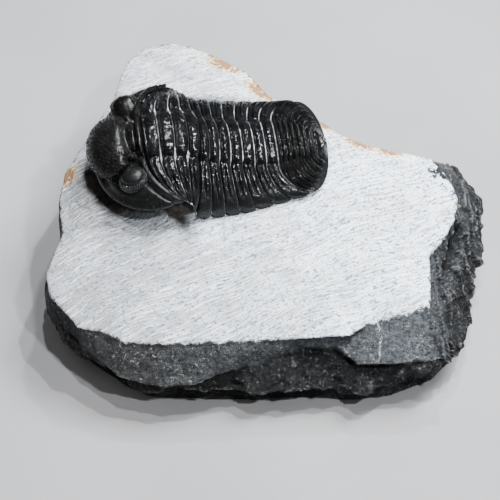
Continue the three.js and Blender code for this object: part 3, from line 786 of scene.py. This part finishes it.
def head_surface(p):
    """Distance outside the head shield; 0 is its outer face."""
    margin_height = p[..., 2] - HEAD_MARGIN
    ahead = p[..., 0] - np.interp(np.abs(p[..., 1]), margin_left, margin_forward)
    side = np.abs(p[..., 1])
    cheeks = lobe(p, *CHEEKS)
    cheeks -= 0.20 * bell(margin_height, 0.6, 0.6) - 0.22 * bell(margin_height, 1.9, 0.6)
    outside_axis = smooth(5.4, 6.6, side)
    cheeks -= outside_axis * (0.32 * bell(ahead, 0.75, 0.6) - 0.35 * bell(ahead, 2.1, 0.7))
    mirrored = np.stack([p[..., 0], side, p[..., 2]], axis=-1)
    eye = lobe(mirrored, *EYE)
    eye += 0.20 * bell(mirrored[..., 2] - EYE[0][2], 1.45, 0.32)
    body = weld(cheeks, lobe(p, *GLABELLA_BASE), 0.55, 0.9)
    body = weld(body, lobe(p, *OCCIPITAL_RING), 0.45, 0.5)
    body = weld(body, lobe(mirrored, *BASAL_LOBE), 0.3, 0.4)
    body = weld(body, lobe(p, *GLABELLA), 0.55, 0.8)
    return weld(body, eye, 0.12, 0.7)


# The rear edge of the head follows the front edge of the thorax.
margin_across = Across(2, 60)
first_edge = station(SEGMENTS - 1, 1 + 2 * PLATE_GAP / SEGMENT_LENGTH[-1])
margin = body_point(first_edge, margin_across, 0) - from_head(0.0, 0.0, 0.0)
half = margin_across.side >= 0
head_forward = math.cos(HEAD_PITCH) * FORWARD + math.sin(HEAD_PITCH) * UP
margin_left = (margin @ LEFT)[half]
margin_forward = (margin @ head_forward)[half]
order = np.argsort(margin_left)
margin_left = margin_left[order]
margin_forward = np.clip(margin_forward[order], GENAL_BACK, 0.15) + 0.1

climb = np.linspace(0, math.pi / 2, HEAD_ROWS)[:, None]
swing = np.linspace(-math.pi / 2, math.pi / 2, HEAD_COLUMNS)[None, :]
rays = np.stack(np.broadcast_arrays(
    np.cos(climb) * np.cos(swing), np.sin(swing), np.sin(climb) * np.cos(swing)), axis=-1)


def along_rays(reach):
    p = rays * reach[..., None] + np.array((0, 0, HEAD_MARGIN))
    p[..., 0] += np.interp(np.abs(p[..., 1]), margin_left, margin_forward)
    return p


near, far = np.full(rays.shape[:2], NEAREST), np.full(rays.shape[:2], FARTHEST)
for _ in range(BISECTIONS):
    middle = (near + far) / 2
    out = head_surface(along_rays(middle)) > 0
    near, far = np.where(out, near, middle), np.where(out, middle, far)
outer = along_rays(near)
pivot = np.array((RIM_MIDDLE, 0, HEAD_MARGIN))
inner = pivot + HEAD_HOLLOW * (outer - pivot)
head = closed_skin("cephalon_shield", from_head(*np.moveaxis(outer, -1, 0)),
                   from_head(*np.moveaxis(inner, -1, 0)))
side = np.abs(outer[..., 1])
in_glabella = smooth(0.6, 0.1, lobe(outer, *GLABELLA))
ahead = outer[..., 0] - np.interp(side, margin_left, margin_forward)
border = bell(ahead, 0.75, 0.55) * smooth(6.5, 9, side) * (outer[..., 1] < 0)
worn = 0.8 * smooth(0.5, 2, lobe(outer, *GLABELLA)) * (outer[..., 1] > 0) * smooth(7, 10, side)
put(head, "worn", on_outside(worn))
put(head, "hollow", on_outside(np.zeros(side.shape)))
bumps = in_glabella * smooth(-4.6, -4.0, outer[..., 2]) + border + 0.3 * smooth(7, 9, side)
put(head, "bumps", on_outside(np.clip(bumps, 0, 1)))
HEAD_SHELL = shell_finish("head_shell", -0.05, 0.17)
grainy["cephalon"] = add_piece(head, "head_shell", HEAD_SHELL, "cephalon")

# ---------------------------------------------------------------- eyes
# Each eye is a low turret with several rows of separate lenses of clear calcite, packed like a
# honeycomb round its outer wall.

LENS_RADIUS = 0.23
LENS_FLATNESS = 0.8                # height of a lens against its width
LENS_PITCH = 0.50
LENS_ROWS = 7
LENS_LOW = -0.55                   # angle of the lowest row below the middle of the eye
LENS_SINK = 0.985                  # lenses are set a little into the wall


def bead_tree(name, spread_over_faces):
    """A node tree that sets small domes on a piece: at its vertices, or scattered over it."""
    tree = bpy.data.node_groups.new(name, "GeometryNodeTree")
    wanted = [("Piece", "NodeSocketGeometry"), ("Radius", "NodeSocketFloat"),
              ("Flatness", "NodeSocketFloat"), ("Spacing", "NodeSocketFloat"),
              ("Finish", "NodeSocketMaterial")]
    for label, kind in wanted:
        tree.interface.new_socket(label, in_out="INPUT", socket_type=kind)
    tree.interface.new_socket("Beads", in_out="OUTPUT", socket_type="NodeSocketGeometry")

    def node(kind, settings=None, values=None):
        made = tree.nodes.new(kind)
        for key, value in (settings or {}).items():
            setattr(made, key, value)
        for key, value in (values or {}).items():
            if isinstance(value, bpy.types.NodeSocket):
                tree.links.new(value, made.inputs[key])
            else:
                made.inputs[key].default_value = value
        return made

    def named(label, kind):
        return node("GeometryNodeInputNamedAttribute", {"data_type": kind},
                    {"Name": label}).outputs["Attribute"]

    given = node("NodeGroupInput").outputs
    if spread_over_faces:
        scattered = node("GeometryNodeDistributePointsOnFaces", {"distribute_method": "POISSON"}, {
            "Mesh": given["Piece"], "Distance Min": given["Spacing"], "Density Max": 9e6,
            "Density Factor": named("bumps", "FLOAT"), "Seed": 4})
        places, facing = scattered.outputs["Points"], scattered.outputs["Rotation"]
        smallest, largest = 0.65, 1.15
    else:
        places = given["Piece"]
        facing = node("FunctionNodeAlignRotationToVector", {"axis": "Z"},
                      {"Vector": named("outward", "FLOAT_VECTOR")}).outputs["Rotation"]
        smallest, largest = 0.94, 1.0
    ball = node("GeometryNodeMeshIcoSphere", None,
                {"Radius": given["Radius"], "Subdivisions": 2}).outputs["Mesh"]
    size = node("FunctionNodeRandomValue", {"data_type": "FLOAT"},
                {2: smallest, 3: largest, "Seed": 8}).outputs[1]
    flat = node("ShaderNodeMath", {"operation": "MULTIPLY"},
                {0: size, 1: given["Flatness"]}).outputs[0]
    scale = node("ShaderNodeCombineXYZ", None, {"X": size, "Y": size, "Z": flat}).outputs[0]
    made = node("GeometryNodeInstanceOnPoints", None, {
        "Points": places, "Instance": ball, "Rotation": facing, "Scale": scale}).outputs[0]
    made = node("GeometryNodeRealizeInstances", None, {"Geometry": made}).outputs[0]
    made = node("GeometryNodeSetShadeSmooth", None, {"Geometry": made}).outputs[0]
    made = node("GeometryNodeSetMaterial", None,
                {"Geometry": made, "Material": given["Finish"]}).outputs[0]
    node("NodeGroupOutput", None, {"Beads": made})
    return tree


def beads_on(source, tree, name, radius, flatness, spacing, finish):
    """The domes that a tree sets on an object, as a plain mesh of their own."""
    modifier = source.modifiers.new("beads", "NODES")
    modifier.node_group = tree
    sockets = {item.name: item.identifier
               for item in tree.interface.items_tree if item.in_out == "INPUT"}
    modifier[sockets["Radius"]] = radius * MM
    modifier[sockets["Flatness"]] = flatness
    modifier[sockets["Spacing"]] = spacing * MM
    modifier[sockets["Finish"]] = finish
    graph = bpy.context.evaluated_depsgraph_get()
    mesh = bpy.data.meshes.new_from_object(source.evaluated_get(graph))
    mesh.name = name
    source.modifiers.remove(modifier)
    return mesh


def lens_finish():
    material, start = new_finish("lens_calcite")
    place = start.place()
    tone = place.grain(0.5, 2).rise(0.3, 0.7).shade(grey(0.006, 0.1), grey(0.022, 0.05))
    close_finish(start, {"Base Color": tone, "Roughness": 0.16 + 0.2 * place.grain(0.6),
                         "Specular IOR Level": 0.6, "Coat Weight": 0.3})
    return material


LENS_CALCITE = lens_finish()
lens_tree = bead_tree("lens_rows", False)
centre, radii = np.array(EYE[0]), np.array(EYE[1])
for name, side in (("left", 1), ("right", -1)):
    places, facings = [], []
    for row in range(LENS_ROWS):
        lift = LENS_LOW + row * 0.87 * LENS_PITCH / radii[2]
        around = LENS_PITCH / (radii[0] * 0.95 * math.cos(lift))
        for turn in np.arange(-1.25, 1.3, around) + (row % 2) * around / 2:
            facing = np.array((math.sin(turn) * math.cos(lift), math.cos(turn) * math.cos(lift),
                               math.sin(lift)))
            p = centre + radii * facing * LENS_SINK
            if lobe(p, *CHEEKS) < 0.25 or lobe(p, *GLABELLA) < 0.5:
                continue
            outward = facing / radii
            places.append(p * (1, side, 1))
            facings.append(outward * (1, side, 1) / np.linalg.norm(outward))
    places, facings = np.array(places), np.array(facings)
    lens_points = bpy.data.meshes.new("lens_points_" + name)
    lens_points.from_pydata(from_head(*places.T) * MM, [], [])
    outward = from_head(*(places + facings).T) - from_head(*places.T)
    attribute = lens_points.attributes.new("outward", "FLOAT_VECTOR", "POINT")
    attribute.data.foreach_set("vector", outward.astype(np.float32).ravel())
    source = bpy.data.objects.new(lens_points.name, lens_points)
    bpy.context.scene.collection.objects.link(source)
    lenses = beads_on(source, lens_tree, f"eye_lenses_{name}", LENS_RADIUS, LENS_FLATNESS,
                      LENS_PITCH, LENS_CALCITE)
    bpy.data.objects.remove(source)
    add_piece(lenses, "head_shell", LENS_CALCITE)

# ---------------------------------------------------------------- tubercles
# Fine tubercles, part of the shell itself, stand on the glabella, on the rear edge of the far
# cheek and thinly over both cheeks, on the rings and ribs of the back, and over the tail shield.

# For each part: radius, height against width, least distance between two; slot and finish.
TUBERCLES = {
    "cephalon": ((0.27, 0.6, 0.70), "head_shell", HEAD_SHELL),
    "pygidium": ((0.21, 0.45, 0.80), "tail_shell", TAIL_SHELL),
    "thorax": ((0.21, 0.85, 0.74), "thorax_shell", THORAX_SHELL),
}
tubercle_tree = bead_tree("tubercles", True)
for node, piece in grainy.items():
    shape, slot, finish = TUBERCLES[node.split("_")[0]]
    beads = beads_on(piece, tubercle_tree, node + "_tubercles", *shape, finish)
    for missing in ("worn", "hollow"):
        if missing in beads.attributes:
            beads.attributes.remove(beads.attributes[missing])
        put(beads, missing, np.zeros(len(beads.vertices)))
    add_piece(beads, slot, finish)

# ---------------------------------------------------------------- table, lamps and camera
# A plain pale table under soft studio lamps: a broad key high on the right behind, a fill from
# the front left, and four small ones that pick out the gloss of the shell.

TABLE_REACH = 2.5


def table_finish():
    material, start = new_finish("table_paint")
    place = start.place()
    tone = place.grain(60, 3).rise(0.3, 0.7).shade(
        (0.24, 0.238, 0.24, 1), (0.27, 0.267, 0.27, 1))
    close_finish(start, {"Base Color": tone, "Roughness": 0.55 + 0.1 * place.grain(8),
                         "Normal": place.grain(1.5, 2).bump(0.03)})
    return material


table_mesh = bpy.data.meshes.new("table")
table_mesh.from_pydata(
    [(x * TABLE_REACH, y * TABLE_REACH, 0) for x, y in ((-1, -1), (1, -1), (1, 1), (-1, 1))],
    [], [(0, 1, 2, 3)])
table_mesh.materials.append(table_finish())
table = bpy.data.objects.new("table", table_mesh)
bpy.context.scene.collection.objects.link(table)

world = bpy.data.worlds.new("studio")
world.use_nodes = True
world.node_tree.nodes["Background"].inputs["Color"].default_value = (0.86, 0.90, 1.0, 1)
world.node_tree.nodes["Background"].inputs["Strength"].default_value = 0.07
bpy.context.scene.world = world

LOOK_AT = Vector((-0.0042, -0.0130, 0.0140))
CAMERA_RISE = math.radians(52)
CAMERA_DISTANCE = 0.430
LENS, SENSOR = 145.5, 36
# Each lamp: place, width, power, colour, and whether the gloss shows it.
LAMPS = {
    "key": ((0.26, 0.18, 0.44), 0.24, 8.6, (0.93, 0.97, 1.0), False),
    "fill": ((-0.26, -0.16, 0.62), 0.60, 1.3, (1.0, 0.99, 0.98), False),
    "sheen": ((0.10, 0.34, 0.46), 0.035, 2.2, (0.90, 0.94, 1.0), True),
    "glint": ((0.02, 0.02, 0.60), 0.02, 2.2, (0.96, 0.98, 1.0), True),
    "spark": ((0.20, -0.20, 0.50), 0.025, 2.4, (0.96, 0.98, 1.0), True),
    "flash": ((0.17, 0.12, 0.55), 0.02, 3.2, (0.97, 0.98, 1.0), True),
}
for name, (spot, width, power, colour, in_gloss) in LAMPS.items():
    lamp = bpy.data.lights.new(name, "AREA")
    lamp.shape, lamp.size, lamp.energy, lamp.color = "DISK", width, power, colour
    holder = bpy.data.objects.new(name, lamp)
    holder.location = spot
    holder.rotation_euler = (LOOK_AT - Vector(spot)).to_track_quat("-Z", "Y").to_euler()
    holder.visible_glossy = in_gloss
    bpy.context.scene.collection.objects.link(holder)

camera = bpy.data.objects.new("camera", bpy.data.cameras.new("camera"))
camera.data.lens, camera.data.sensor_width = LENS, SENSOR
camera.data.clip_start = 0.01
towards_camera = Vector((0, -math.cos(CAMERA_RISE), math.sin(CAMERA_RISE)))
camera.location = LOOK_AT + CAMERA_DISTANCE * towards_camera
camera.rotation_euler = (LOOK_AT - camera.location).to_track_quat("-Z", "Y").to_euler()
bpy.context.scene.collection.objects.link(camera)
bpy.context.scene.camera = camera
